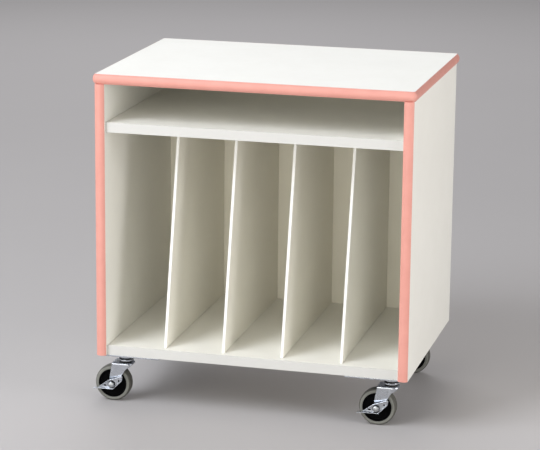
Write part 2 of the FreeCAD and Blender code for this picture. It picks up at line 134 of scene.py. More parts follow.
# Fork: bent and pinched legs with rounded eyes and flared back edges, and the crown with its skirt
FORK_SHEET = 0.0025
FORK_BEND_RADIUS = 0.0015
FORK_BEND_OUTSIDE = FORK_BEND_RADIUS + FORK_SHEET
FORK_PINCH = 0.0015
PINCH_TOP = 0.015
PINCH_BOTTOM = 0.0115
LEG_END_RADIUS = 0.007
LEG_STRAIGHT_LEVELS = (0.018, 0.022)
LEG_COLUMNS = 6
EYE_TURNS = (4, 15, 30, 45, 60, 75, 90)
EYE_SHARES = (0.4, 0.9, 1.3)
LEG_FRONT_SLANT = 0.0012
LEG_FLARE_DROP = 0.0055
LEG_FLARE_BACK = 0.0075
LEG_FLARE_SLOPE = LEG_FLARE_BACK / (LEG_FLARE_DROP + LEG_FLARE_BACK)
CROWN_CORNER_RADIUS = 0.012
CROWN_TURNS = (75, 60, 45, 30, 15, 0)
SKIRT_START = LEG_FLARE_DROP + LEG_FLARE_SLOPE * CROWN_CORNER_RADIUS
SKIRT_DROP = 0.0045
SKIRT_STEPS = 8

# Wheel: the hub's rim, web and boss, and the tyre, its tread darker from TREAD_START steps into its
# shoulder
WHEEL_SEGMENTS = 96
HUB_RIM_INSET = 0.0005
HUB_RIM = 0.0025
HUB_RECESS = 0.004
HUB_BORE = 0.00605
HUB_EDGE = 0.0006
BOSS_RADIUS = 0.011
BOSS_FOOT = 0.001
WEB_BEND = 0.002
WEB_BEND_INSET = 0.0005
TYRE_SHOULDER = 0.0045
SHOULDER_END = 12
SHOULDER_STEPS = 8
TREAD_SINK = 0.0004
TREAD_START = 4
TREAD_FLAT = 0.0035

# Axle: its bolt with a domed nut, and under the nut on the braked casters a black collar, painted
# shade round the nut
AXLE_RADIUS = 0.004
NUT_WIDTH = 0.012
NUT_HEIGHT = 0.0065
DOME_INSET = 0.0004
DOME_ROOT = 0.0005
DOME_STEP = 10
COLLAR_RADIUS = 0.0071
COLLAR_HEIGHT = 0.003
COLLAR_EDGE = 0.0006

# Brake lever: a dish about the axle, with (u, v, radius) corners and (u, v, half_u, half_v) slots
LEVER_SHEET = 0.0014
LEVER_DEPTH = 0.0075
LEVER_FLOOR_SCALE = 0.95
LEVER_NUT_GAP = 0.0006
LEVER_WAIST = (NUT_WIDTH / math.sqrt(3) + LEVER_NUT_GAP + LEVER_SHEET) / LEVER_FLOOR_SCALE
LEVER_RIM = (
    (0.026, 0.021, 0.002),
    (0.024, 0.0095, 0.006),
    (0.005, -LEVER_WAIST, 0.006),
    (-0.031, -LEVER_WAIST, 0.002),
    (-0.006, LEVER_WAIST, 0.006),
)
LEVER_BEND = 0.0018
LEVER_INNER_BEND = 0.0009
LEVER_BOSS_RADIUS = 0.0075
LEVER_BOSS_HEIGHT = 0.0024
LEVER_BORE = 0.00405
LEVER_SLOTS = ((0.0160, 0.0078, 0.0014, 0.0024), (-0.0136, -0.0036, 0.0028, 0.0016))
SLOT_ROUNDNESS = 0.9
PEDAL_ROOT = 0.024
PEDAL_DROP = 0.0018
PEDAL_WIDTH = 0.010


# Outlines and forms


def rounded(corners, steps=6):
    """The points of a closed outline through (u, v, radius) corners, each one rounded."""
    points = []
    spots = [Vector((u, v)) for u, v, radius in corners]
    for index, (u, v, radius) in enumerate(corners):
        corner = spots[index]
        if radius == 0:
            points.append(corner)
            continue
        before = (spots[index - 1] - corner).normalized()
        after = (spots[(index + 1) % len(spots)] - corner).normalized()
        half = before.angle(after) / 2
        centre = corner + (before + after).normalized() * (radius / math.sin(half))
        start = corner + before * (radius / math.tan(half)) - centre
        end = corner + after * (radius / math.tan(half)) - centre
        turn = start.angle_signed(end)
        for step in range(steps + 1):
            points.append(centre + Matrix.Rotation(-turn * step / steps, 2) @ start)
    return points


def rectangle(half_x, half_y, radius):
    """A rounded rectangle about the origin, as outline corners."""
    return [(half_x * x, half_y * y, radius) for x, y in ((-1, -1), (1, -1), (1, 1), (-1, 1))]


def chamfered(half_x, half_y, cut, radius):
    """A rectangle about the origin with its corners cut off, as outline corners."""
    corners = []
    for x, y in ((-1, -1), (1, -1), (1, 1), (-1, 1)):
        side = (half_x * x, (half_y - cut) * y, radius)
        end = ((half_x - cut) * x, half_y * y, radius)
        corners += [side, end] if x * y > 0 else [end, side]
    return corners


def skin(bm, rings, closed=True):
    """Quads between neighbouring rings of vertices, each ring closed or open."""
    for low, high in zip(rings, rings[1:]):
        count = len(low)
        for index in range(count if closed else count - 1):
            after = (index + 1) % count
            bm.faces.new((low[index], low[after], high[after], high[index]))


def ring(bm, points):
    """New vertices at the points."""
    return [bm.verts.new(point) for point in points]


def stack(rings_of_points, holes=()):
    """A closed form through rings of points, its two ends filled round the holes between them."""
    bm = bmesh.new()
    rings = [ring(bm, points) for points in rings_of_points]
    walls = [[ring(bm, points) for points in ends] for ends in holes]
    for tube in [rings] + walls:
        skin(bm, tube)
    for end in (0, -1):
        if holes:
            loops = [tube[end] for tube in [rings] + walls]
            pairs = [(loop[index - 1], loop[index]) for loop in loops for index in range(len(loop))]
            rims = [bm.edges.get(pair) for pair in pairs]
            bmesh.ops.triangle_fill(bm, edges=rims, use_beauty=True)
        else:
            bm.faces.new(rings[end])
    bmesh.ops.recalc_face_normals(bm, faces=bm.faces)
    return bm


def prism(outline, axis, low, high):
    """The outline pushed along the axis: (y, z), (x, z) or (x, y) points for x, y and z."""
    place = {"x": (2, 0, 1), "y": (0, 2, 1), "z": (0, 1, 2)}[axis]
    levels = []
    for height in (low, high):
        spots = [(point[0], point[1], height) for point in outline]
        levels.append([[spot[index] for index in place] for spot in spots])
    return stack(levels)


def slab(low, high):
    """A board between two corners."""
    corners = [(low[0], low[1]), (high[0], low[1]), (high[0], high[1]), (low[0], high[1])]
    return prism(corners, "z", low[2], high[2])


def soften(bm, width, segments=2, sharpest=30, joint=frozenset()):
    """Rounds every edge that turns by more than the angle, in degrees, but for a joint's edges."""
    limit = math.radians(sharpest)
    edges = [edge for edge in bm.edges if edge.calc_face_angle(0) > limit]
    edges = [edge for edge in edges if not joint.issuperset(edge.verts)]
    bmesh.ops.bevel(
        bm,
        geom=edges,
        offset=width,
        segments=segments,
        profile=0.5,
        affect="EDGES",
        clamp_overlap=True,
    )
    return bm


def lathe(profile, segments=48, closed=False):
    """A form turned about Z from (radius, height) points; a radius of 0 closes an end."""
    bm = bmesh.new()
    rings = []
    for radius, height in profile:
        turns = [math.tau * step / segments for step in range(segments)]
        spots = [(radius * math.cos(turn), radius * math.sin(turn), height) for turn in turns]
        rings.append(ring(bm, spots if radius > 0 else [(0, 0, height)]))
    pairs = list(zip(rings, rings[1:]))
    if closed:
        pairs.append((rings[-1], rings[0]))
    for low, high in pairs:
        for index in range(segments):
            after = (index + 1) % segments
            corners = [low[index % len(low)], low[after % len(low)]]
            corners += [high[after % len(high)], high[index % len(high)]]
            bm.faces.new(dict.fromkeys(corners))
    bmesh.ops.recalc_face_normals(bm, faces=bm.faces)
    return bm


def arc(centre, radius, start, end, steps):
    """Points of an arc in degrees, both ends kept."""
    turns = [math.radians(start + (end - start) * step / steps) for step in range(steps + 1)]
    return [
        (centre[0] + radius * math.cos(turn), centre[1] + radius * math.sin(turn))
        for turn in turns
    ]


def mirrored(profile):
    """A (radius, height) profile followed by its mirror image below height 0."""
    return profile + [(radius, -height) for radius, height in reversed(profile)]


def moved(bm, place):
    """The form with its vertices moved by a vector or turned and moved by a matrix."""
    matrix = place if isinstance(place, Matrix) else Matrix.Translation(place)
    bm.transform(matrix)
    return bm


def on_axis(place):
    """The place's x and y, for a form that has its own heights."""
    return Vector((place.x, place.y, 0))


def joined(*forms):
    """Several forms as one."""
    whole = forms[0]
    for form in forms[1:]:
        mesh = bpy.data.meshes.new("part")
        form.to_mesh(mesh)
        form.free()
        whole.from_mesh(mesh)
        bpy.data.meshes.remove(mesh)
    return whole


def piece(name, bm, material, body, replaced=(), smooth=35):
    """A named piece of the object, which rides on its body and takes its finish from its slot."""
    mesh = bpy.data.meshes.new(name)
    bm.to_mesh(mesh)
    bm.free()
    mesh.materials.append(material)
    mesh.polygons.foreach_set("use_smooth", [True] * len(mesh.polygons))
    mesh.set_sharp_from_angle(angle=math.radians(smooth))
    item = bpy.data.objects.new(name, mesh)
    bpy.context.scene.collection.objects.link(item)
    shading = item.modifiers.new("even shading", "WEIGHTED_NORMAL")
    shading.keep_sharp = True
    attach(item, body)
    if replaced:
        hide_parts(*replaced)


# Finishes


class Finish:
    """A procedural material whose colour, roughness and relief vary over the surface."""

    def __init__(self, name, uniform):
        self.material = bpy.data.materials.new(name)
        self.material.use_nodes = True
        self.tree = self.material.node_tree
        self.shader = self.tree.nodes["Principled BSDF"]
        for socket, value in uniform.items():
            self.shader.inputs[socket].default_value = value
        self.place = self.tree.nodes.new("ShaderNodeTexCoord").outputs["Object"]
        self.normal = None

    def noise(self, scale, detail=3.0):
        """A noise pattern with this many features to the metre."""
        pattern = self.tree.nodes.new("ShaderNodeTexNoise")
        pattern.inputs["Scale"].default_value = scale
        pattern.inputs["Detail"].default_value = detail
        self.tree.links.new(self.place, pattern.inputs["Vector"])
        return pattern.outputs["Fac"]

    def colour(self, pattern, low, high, start=0.35, end=0.65):
        """The base colour runs from low to high with the pattern."""
        ramp = self.tree.nodes.new("ShaderNodeValToRGB")
        ramp.color_ramp.elements[0].position = start
        ramp.color_ramp.elements[0].color = (*low, 1)
        ramp.color_ramp.elements[1].position = end
        ramp.color_ramp.elements[1].color = (*high, 1)
        self.tree.links.new(pattern, ramp.inputs["Fac"])
        self.tree.links.new(ramp.outputs["Color"], self.shader.inputs["Base Color"])

    def roughness(self, pattern, low, high, start=0.35, end=0.65):
        """The roughness runs from low to high with the pattern."""
        reach = self.tree.nodes.new("ShaderNodeMapRange")
        reach.inputs["From Min"].default_value = start
        reach.inputs["From Max"].default_value = end
        reach.inputs["To Min"].default_value = low
        reach.inputs["To Max"].default_value = high
        self.tree.links.new(pattern, reach.inputs["Value"])
        self.tree.links.new(reach.outputs["Result"], self.shader.inputs["Roughness"])

    def relief(self, pattern, height, strength=1.0):
        """Adds bumps of this height, in metres."""
        bump = self.tree.nodes.new("ShaderNodeBump")
        bump.inputs["Distance"].default_value = height
        bump.inputs["Strength"].default_value = strength
        self.tree.links.new(pattern, bump.inputs["Height"])
        if self.normal:
            self.tree.links.new(self.normal, bump.inputs["Normal"])
        self.normal = bump.outputs["Normal"]
        self.tree.links.new(self.normal, self.shader.inputs["Normal"])


def laminate(name, low, high):
    """Satin melamine: an even colour with a faint cloud and the fine pearl of its press plate."""
    finish = Finish(name, {"Specular IOR Level": 0.4})
    finish.colour(finish.noise(9, detail=4), low, high)
    finish.roughness(finish.noise(60), 0.42, 0.54)
    finish.relief(finish.noise(1500, detail=2), height=0.00002)
    finish.relief(finish.noise(12, detail=2), height=0.0006, strength=0.15)
    return finish.material


def band_plastic(name, low, high):
    """Extruded PVC: satin and slightly wavy, with a fine grain."""
    finish = Finish(name, {"Specular IOR Level": 0.4})
    finish.colour(finish.noise(35, detail=5), low, high)
    finish.roughness(finish.noise(220, detail=4), 0.4, 0.52)
    finish.relief(finish.noise(1200, detail=2), height=0.000015)
    finish.relief(finish.noise(25, detail=2), height=0.0005, strength=0.15)
    return finish.material


def zinc(name, low, high, smoothest, roughest):
    """Bright zinc plate: a soft cloud over a fine grain."""
    finish = Finish(name, {"Metallic": 1.0})
    finish.colour(finish.noise(45, detail=2), low, high, start=0.25, end=0.75)
    finish.roughness(finish.noise(70, detail=2), smoothest, roughest, start=0.25, end=0.75)
    finish.relief(finish.noise(900, detail=2), height=0.000003)
    return finish.material


def rubber(name, low, high):
    """Rubber: dusty and a little mottled, with a fine moulded grain."""
    finish = Finish(name, {"Specular IOR Level": 0.35})
    finish.colour(finish.noise(140, detail=6), low, high)
    finish.roughness(finish.noise(300), 0.5, 0.72)
    finish.relief(finish.noise(1800), height=0.00004)
    return finish.material


def moulded_plastic(name, low, high):
    """Moulded nylon: nearly even, with a fine spark-eroded grain."""
    finish = Finish(name, {"Specular IOR Level": 0.03})
    finish.colour(finish.noise(200, detail=4), low, high)
    finish.roughness(finish.noise(500), 0.45, 0.6)
    finish.relief(finish.noise(2500, detail=2), height=0.00002)
    return finish.material


def greased_steel_and_shade(name, low, high):
    """Greased steel of the swivel bearings, nearly black: partly the grease and partly painted
    shade for the shadows in the swivel head.
    """
    finish = Finish(name, {"Metallic": 0.6})
    finish.colour(finish.noise(500, detail=4), low, high)
    finish.roughness(finish.noise(400), 0.3, 0.5)
    finish.relief(finish.noise(1500), height=0.00003)
    return finish.material


def matt_floor(name, low, high):
    """Pale matt studio floor, a little cloudy."""
    finish = Finish(name, {"Specular IOR Level": 0.1})
    finish.colour(finish.noise(0.6, detail=2), low, high)
    finish.roughness(finish.noise(3), 0.8, 0.9)
    return finish.material


WHITE = laminate("white_melamine", (0.855, 0.84, 0.78), (0.875, 0.86, 0.80))
BACKING = laminate("white_hardboard", (0.945, 0.905, 0.795), (0.955, 0.915, 0.805))
CREAM = laminate("divider_melamine", (0.86, 0.835, 0.75), (0.88, 0.855, 0.77))
# The edge strips are as white as the boards; this darker colour is painted shade for front faces
# that get less of the light from above.
SHADED_EDGING = laminate("shaded_white_edge_strip", (0.585, 0.577, 0.552), (0.605, 0.597, 0.572))
TAPE = laminate("white_tape", (0.84, 0.83, 0.80), (0.86, 0.85, 0.82))
SALMON = band_plastic("salmon_band", (0.675, 0.298, 0.248), (0.705, 0.318, 0.265))
SHEET = zinc("zinc_sheet", (0.49, 0.515, 0.56), (0.54, 0.565, 0.61), 0.24, 0.3)
BOLTED = zinc("zinc_bolts", (0.42, 0.435, 0.45), (0.48, 0.495, 0.51), 0.36, 0.44)
RUBBER = rubber("grey_rubber", (0.172, 0.172, 0.154), (0.192, 0.192, 0.172))
# The tread is coloured darker than the tyre's sides.
TREAD = rubber("darker_tread", (0.085, 0.083, 0.071), (0.105, 0.103, 0.088))
# Black nylon of the hubs, also the black of the painted-shade collar under the braked casters'
# nuts.
NYLON_AND_SHADE = moulded_plastic("black_nylon_and_shade", (0.001, 0.001, 0.0012), (0.002, 0.002, 0.0022))
# Nearly black: partly grease, partly painted shade for the shadows round the swivel bearing and
# under the race.
GREASE_AND_SHADE = greased_steel_and_shade("greased_steel_and_shade", (0.012, 0.011, 0.010), (0.035, 0.033, 0.03))
PALE_FLOOR = matt_floor("studio_floor", (0.468, 0.449, 0.446), (0.478, 0.459, 0.456))


# Cabinet


def boards():
    """The top, the back, the shelf and the bottom board."""
    low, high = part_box("top_panel")
    outline = rounded(rectangle(high.x, high.y, TOP_CORNER_RADIUS))
    top = soften(prism(outline, "z", low.z, high.z), BOARD_EDGE)
    piece("top_board", top, WHITE, "cabinet", ["top_panel"])
    back = soften(slab(*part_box("back_panel")), BOARD_EDGE)
    piece("back_board", back, BACKING, "cabinet", ["back_panel"])
    for name, node in (("shelf_board", "middle_shelf"), ("bottom_board", "bottom_panel")):
        low, high = between_sides(node)
        high.y -= SHADOW_GAP
        board = soften(slab(low, high), BOARD_EDGE)
        piece(name, board, WHITE, "cabinet", [node])


def between_sides(node):
    """The corners of a node's box, as far as the shadow gaps beside the side boards."""
    low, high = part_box(node)
    low.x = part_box("left_side_panel")[1].x + SHADOW_GAP
    high.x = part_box("right_side_panel")[0].x - SHADOW_GAP
    return low, high


def side_boards():
    """The side boards, with the notch behind that holds the back."""
    back_low, back_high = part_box("back_panel")
    for hand, side in HANDS.items():
        node = f"{hand}_side_panel"
        low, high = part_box(node)
        inner, outer = sorted((abs(low.x), abs(high.x)))
        notch = back_high.x + BOARD_JOINT
        outline = [(inner, low.y), (outer, low.y), (outer, high.y)]
        outline += [(notch, high.y), (notch, back_low.y), (inner, back_low.y)]
        outline = [(side * x, y) for x, y in outline]
        board = soften(prism(outline, "z", low.z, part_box("top_panel")[0].z), BOARD_EDGE)
        piece(f"{hand}_side_board", board, WHITE, "cabinet", [node])


def edge_strips():
    """The flat white strips on the shelf's and the bottom board's front edges, their colour
    darkened as painted shade.
    """
    for node in ("shelf_edging", "bottom_edging"):
        strip = soften(slab(*between_sides(node)), STRIP_EDGE)
        piece(f"{node}_strip", strip, SHADED_EDGING, "cabinet", [node])


def dividers():
    """The thin uprights: each a board with a slanted front edge and a white tape on it."""
    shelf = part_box("middle_shelf")[0].z - SHADOW_GAP
    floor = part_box("bottom_panel")[1].z + SHADOW_GAP
    for node in [name for name in frame["nodes"] if name.startswith("divider_")]:
        low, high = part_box(node)
        depths = {round(vertex.co.y, 6) for vertex in frame["nodes"][node].data.vertices}
        foot, head = sorted(depths)[:2]
        bare_foot = foot + TAPE_THICKNESS
        bare_head = head + TAPE_THICKNESS
        rear = high.y - SHADOW_GAP
        outline = [(bare_foot, floor), (rear, floor), (rear, shelf), (bare_head, shelf)]
        board = soften(prism(outline, "x", low.x, high.x), STRIP_EDGE)
        piece(f"{node}_board", board, CREAM, "cabinet", [node])
        outline = [(foot, floor), (bare_foot, floor), (bare_head, shelf), (head, shelf)]
        tape = soften(prism(outline, "x", low.x, high.x), STRIP_EDGE)
        piece(f"{node}_tape", tape, TAPE, "cabinet")


def nose(thickness):
    """The bull-nose section: (out of the edge, across its thickness) points, from face to face."""
    half = thickness / 2
    radius = (half * half + NOSE_BULGE * NOSE_BULGE) / (2 * NOSE_BULGE)
    reach = math.degrees(math.asin(half / radius))
    return arc((NOSE_BULGE - radius, half), radius, -reach, reach, NOSE_STEPS)


def top_band():
    """The bull-nose band swept round the top's edge, with its butt joint in the middle behind."""
    low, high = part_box("top_panel")
    corners = rounded(rectangle(high.x, high.y, TOP_CORNER_RADIUS), steps=10)
    joint = Vector((BAND_JOINT / 2, high.y))
    behind = [spot for spot in corners if spot.x < 0 < spot.y]
    front = [spot for spot in corners if spot.y < 0]
    right = [spot for spot in corners if spot.x > 0 and spot.y > 0]
    path = [Vector((-joint.x, joint.y))] + behind + front + right + [joint]
    flat_x = high.x - TOP_CORNER_RADIUS
    flat_y = high.y - TOP_CORNER_RADIUS
    levels = []
    for spot in path:
        nearest = Vector((min(max(spot.x, -flat_x), flat_x), math.copysign(flat_y, spot.y)))
        out = (spot - nearest).normalized()
        levels.append([(*(spot + out * u), low.z + v) for u, v in nose(high.z - low.z)])
    band = stack(levels)
    piece("top_nose_band", band, SALMON, "cabinet", ["top_edge_band"], NOSE_SMOOTH)


def side_bands():
    """The upright bull-nose bands on the side boards' front edges."""
    for hand in HANDS:
        low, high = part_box(f"{hand}_side_panel")
        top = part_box("top_panel")[0].z
        outline = [(low.x + v, low.y - u) for u, v in nose(high.x - low.x)]
        band = soften(prism(outline, "z", low.z, top), STRIP_EDGE, sharpest=NOSE_SMOOTH)
        name = f"{hand}_nose_band"
        piece(name, band, SALMON, "cabinet", [f"{hand}_side_band"], NOSE_SMOOTH)


def rails():
    """The steel rails that carry the casters."""
    for hand in HANDS:
        low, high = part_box(f"{hand}_caster_rail")
        middle = (low + high) / 2
        half = (high - low) / 2
        outline = rounded(rectangle(half.x, half.y, RAIL_CORNER_RADIUS))
        rail = soften(prism(outline, "z", low.z, high.z), SHEET_EDGE)
        rail = moved(rail, on_axis(middle))
        piece(f"{hand}_rail", rail, SHEET, "cabinet", [f"{hand}_caster_rail"])


# Screws and nuts


def screw_head(place, turn):
    """A domed head with a cross recess that stands on the place, turned from +Z."""
    arm = [(CROSS_HALF, -CROSS_HALF), (CROSS_REACH / 2, -CROSS_HALF), (CROSS_REACH, -CROSS_HALF)]
    arm += [(CROSS_REACH, 0), (CROSS_REACH, CROSS_HALF), (CROSS_REACH / 2, CROSS_HALF)]
    cross = []
    for quarter in range(4):
        cross += [Matrix.Rotation(math.radians(90 * quarter), 2) @ Vector(spot) for spot in arm]
    levels = []
    for share, height in SCREW_DOME:
        circle = [spot.normalized() * SCREW_RADIUS * share for spot in cross]
        levels.append([(*spot, SCREW_HEIGHT * height) for spot in circle])
    levels.append([(*spot, SCREW_HEIGHT) for spot in cross])
    levels.append([(*(spot * CROSS_TAPER), SCREW_HEIGHT - CROSS_DEPTH) for spot in cross])
    return moved(stack(levels), Matrix.Translation(place) @ turn)


def screws_below(name, middle, level, across, back):
    """Screw heads under a level, at these distances across and back from the middle."""
    down = Matrix.Rotation(math.pi, 4, "X")
    spots = [(middle.x + x, middle.y + y, level) for x in across for y in back]
    heads = [screw_head(spot, down) for spot in spots]
    piece(name, joined(*heads), BOLTED, "cabinet")


def caster_screws():
    """The screws in the base plates and the rails."""
    for name in CASTERS:
        low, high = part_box(f"{name}_base_plate")
        level = high.z - PLATE_THICKNESS
        across = (-PLATE_SCREW_X, PLATE_SCREW_X)
        back = (-PLATE_SCREW_Y, PLATE_SCREW_Y)
        screws_below(f"{name}_plate_screws", (low + high) / 2, level, across, back)
    for hand in HANDS:
        low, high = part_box(f"{hand}_caster_rail")
        across = (-RAIL_SCREW_X, RAIL_SCREW_X)
        back = (-RAIL_SCREW_Y, 0, RAIL_SCREW_Y)
        screws_below(f"{hand}_rail_screws", (low + high) / 2, low.z, across, back)


def back_screws():
    """The screws round the back's edge and into the boards before it."""
    low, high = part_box("back_panel")
    edge = high.x - BACK_SCREW_INSET
    spots = []
    for share in BACK_SCREW_LEVELS:
        level = low.z + BACK_SCREW_MARGIN + (high.z - low.z - 2 * BACK_SCREW_MARGIN) * share
        spots += [(-edge, level), (edge, level)]
    for node in ("middle_shelf", "bottom_panel"):
        level = sum(corner.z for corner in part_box(node)) / 2
        spots += [(edge * share, level) for share in BACK_SCREW_SPREAD]
    backward = Matrix.Rotation(math.radians(-90), 4, "X")
    heads = [screw_head((x, high.y, z), backward) for x, z in spots]
    piece("back_screws", joined(*heads), BOLTED, "cabinet")


def hex_form(width, height):
    """A hexagonal nut or head on Z, from 0 to its height, its outer end chamfered."""
    reach = width / math.sqrt(3)
    side = math.radians(60)
    turns = [math.radians(360 / NUT_POINTS * step) for step in range(NUT_POINTS)]
    flats = [width / 2 / math.cos((turn + side / 2) % side - side / 2) for turn in turns]
    chamfered_end = (height, NUT_CHAMFER * NUT_CHAMFER_SLOPE)
    levels = []
    for level, shrink in ((0, 0), (height - NUT_CHAMFER, 0), chamfered_end):
        sizes = [min(size, reach - shrink) for size in flats]
        spots = [(s * math.cos(t), s * math.sin(t), level) for s, t in zip(sizes, turns)]
        levels.append(spots)
    return stack(levels)


# Casters


def along_axle(axle):
    """Turns a form made on Z so that its height runs to the near side, and moves it to the axle."""
    return Matrix.Translation(axle) @ Matrix.Rotation(math.radians(90), 4, "X")


def swivel_head(name, place):
    """The base plate with its pressed cup."""
    low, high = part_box(f"{name}_base_plate")
    half = (high - low) / 2
    top = high.z - PLATE_THICKNESS
    outline = rounded(chamfered(half.x, half.y, PLATE_CORNER_CUT, PLATE_CORNER_RADIUS), steps=3)
    plate = soften(prism(outline, "z", top, high.z), SHEET_EDGE)
    radius = CUP_DIAMETER / 2
    profile = [(0, top), (radius + CUP_BEND, top)]
    profile += arc((radius + CUP_BEND, top - CUP_BEND), CUP_BEND, 90, 180, 4)[1:]
    profile += arc((radius - CUP_BEND, low.z + CUP_BEND), CUP_BEND, 0, -90, 5)
    profile += [(0, low.z)]
    form = moved(joined(plate, lathe(profile)), on_axis(place))
    piece(f"{name}_plate_and_cup", form, SHEET, "cabinet", [f"{name}_base_plate"])


def bearing(name, place):
    """The swivel bearing: a cage with a row of balls, nearly black as grease and painted shade."""
    low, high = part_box(f"{name}_bearing_ring")
    outer = (high.x - low.x) / 2
    ball = (high.z - low.z) / 2 - END_FLOAT
    track = outer - ball
    middle = (high.z + low.z) / 2
    profile = [(CAGE_BORE, low.z), (track, low.z), (track, high.z), (CAGE_BORE, high.z)]
    forms = [lathe(profile, closed=True)]
    count = int(math.tau * track / (2 * ball * BALL_SPACING))
    for step in range(count):
        turn = math.tau * step / count
        form = bmesh.new()
        bmesh.ops.create_icosphere(form, subdivisions=2, radius=ball)
        forms.append(moved(form, (track * math.cos(turn), track * math.sin(turn), middle)))
    form = moved(joined(*forms), on_axis(place))
    piece(f"{name}_ball_bearing", form, GREASE_AND_SHADE, "cabinet", [f"{name}_bearing_ring"])


def crown_height(name):
    """The top of the fork's crown, under its neck and race."""
    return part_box(f"{name}_fork")[1].z - RACE_HEIGHT - NECK_HEIGHT


def kingpin(name, place):
    """The kingpin, with its nut under the fork's crown."""
    low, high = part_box(f"{name}_kingpin")
    seat = crown_height(name) - FORK_SHEET - END_FLOAT
    nut = hex_form(KINGPIN_NUT_WIDTH, seat - low.z)
    flip = Matrix.Translation((0, 0, seat)) @ Matrix.Rotation(math.pi, 4, "X")
    end = low.z + KINGPIN_END_INSET
    profile = [(0, end), (KINGPIN_RADIUS - KINGPIN_TIP_WIDTH, end)]
    profile += [(KINGPIN_RADIUS, end + KINGPIN_TIP_HEIGHT), (KINGPIN_RADIUS, high.z), (0, high.z)]
    pin = lathe(profile, 32)
    form = moved(joined(moved(nut, flip), pin), on_axis(place))
    piece(f"{name}_swivel_pin", form, GREASE_AND_SHADE, "cabinet", [f"{name}_kingpin"])


def leg_tangent(u, v, side):
    """Where a straight leg edge from (u, v) meets the round end about the axle."""
    turn = math.atan2(v, u) + side * math.acos(LEG_END_RADIUS / math.hypot(u, v))
    return LEG_END_RADIUS * math.cos(turn), LEG_END_RADIUS * math.sin(turn)


def along(start, end, level):
    """How far out a straight edge from start to end is at this level, held at its ends."""
    share = (level - start[1]) / (end[1] - start[1])
    return start[0] + (end[0] - start[0]) * min(max(share, 0), 1)


def leg_limits(level, top, crown_back):
    """The leg's front and back edges at this height above the axle."""
    front_top = (LEG_FRONT_SLANT, top)
    back_top = (crown_back, top - LEG_FLARE_DROP)
    flare = (back_top[0] - LEG_FLARE_DROP - LEG_FLARE_BACK, back_top[1] - LEG_FLARE_BACK)
    front_touch = leg_tangent(*front_top, 1)
    back_touch = leg_tangent(*flare, -1)
    eye_half = math.sqrt(max(LEG_END_RADIUS**2 - level**2, 0))
    front = -eye_half
    back = eye_half
    if level > front_touch[1]:
        front = along(front_touch, front_top, level)
    if level > back_touch[1]:
        back = along(back_touch, flare, level)
    if level > flare[1]:
        back = along(flare, back_top, level)
    return front, back


def fork_rows(half, top, crown_back):
    """The sheet's middle line from one eye to the crown: (y, z, front, back, at the skirt)."""
    middle = FORK_SHEET / 2
    bend = FORK_BEND_RADIUS + middle
    bend_start = top - middle - bend
    flare_top = top - LEG_FLARE_DROP
    flare = flare_top - LEG_FLARE_BACK
    levels = [-LEG_END_RADIUS * math.cos(math.radians(turn)) for turn in EYE_TURNS]
    levels += [LEG_END_RADIUS * share for share in EYE_SHARES]
    levels += [PINCH_BOTTOM, PINCH_TOP, *LEG_STRAIGHT_LEVELS, flare, top - SKIRT_START, flare_top]
    spots = []
    for level in sorted(level for level in levels if level < bend_start):
        out = along((half - FORK_PINCH, PINCH_BOTTOM), (half, PINCH_TOP), level)
        spots.append((out - middle, level))
    spots += arc((half - middle - bend, bend_start), bend, 0, 90, 6)
    straight = half - CROWN_CORNER_RADIUS
    reach = CROWN_CORNER_RADIUS - FORK_BEND_OUTSIDE
    flat = [straight + reach * math.sin(math.radians(turn)) for turn in CROWN_TURNS]
    spots += [(across, top - middle) for across in flat + [straight / 2, 0]]
    rows = []
    for y, z in spots:
        front, back = leg_limits(z, top, crown_back)
        across = min(max(y - straight, 0), reach)
        limit = crown_back - CROWN_CORNER_RADIUS + math.sqrt(reach**2 - across**2)
        rows.append((y, z, front, min(back, limit), back > limit - STRIP_EDGE))
    return rows


def fork_form(low, high, axle):
    """The stamped fork's sheet: a strip that runs up one leg, over the crown and down the other."""
    top = high.z - RACE_HEIGHT - NECK_HEIGHT - axle.z
    rows = fork_rows((high.y - low.y) / 2, top, high.x - axle.x)
    rows += [(-y, *rest) for y, *rest in reversed(rows[:-1])]
    bm = bmesh.new()
    sheets = [], []
    joint = set()
    for index, (y, z, front, back, at_skirt) in enumerate(rows):
        before = rows[max(index - 1, 0)]
        after = rows[min(index + 1, len(rows) - 1)]
        way = Vector((after[0] - before[0], after[1] - before[1])).normalized()
        out = Vector((way.y, -way.x)) * FORK_SHEET / 2
        spread = [front + (back - front) * step / LEG_COLUMNS for step in range(LEG_COLUMNS + 1)]
        for rings, side in zip(sheets, (1, -1)):
            spot = axle + Vector((0, y + side * out.x, z + side * out.y))
            rings.append(ring(bm, [spot + Vector((x, 0, 0)) for x in spread]))
            if at_skirt:
                joint.add(rings[-1][-1])
    outer, inner = sheets
    skin(bm, outer, closed=False)
    skin(bm, inner, closed=False)
    for end in (0, -1):
        skin(bm, [[row[end] for row in rings] for rings in sheets], closed=False)
        skin(bm, [outer[end], inner[end]], closed=False)
    bmesh.ops.recalc_face_normals(bm, faces=bm.faces)
    return soften(bm, SHEET_EDGE, sharpest=60, joint=joint)


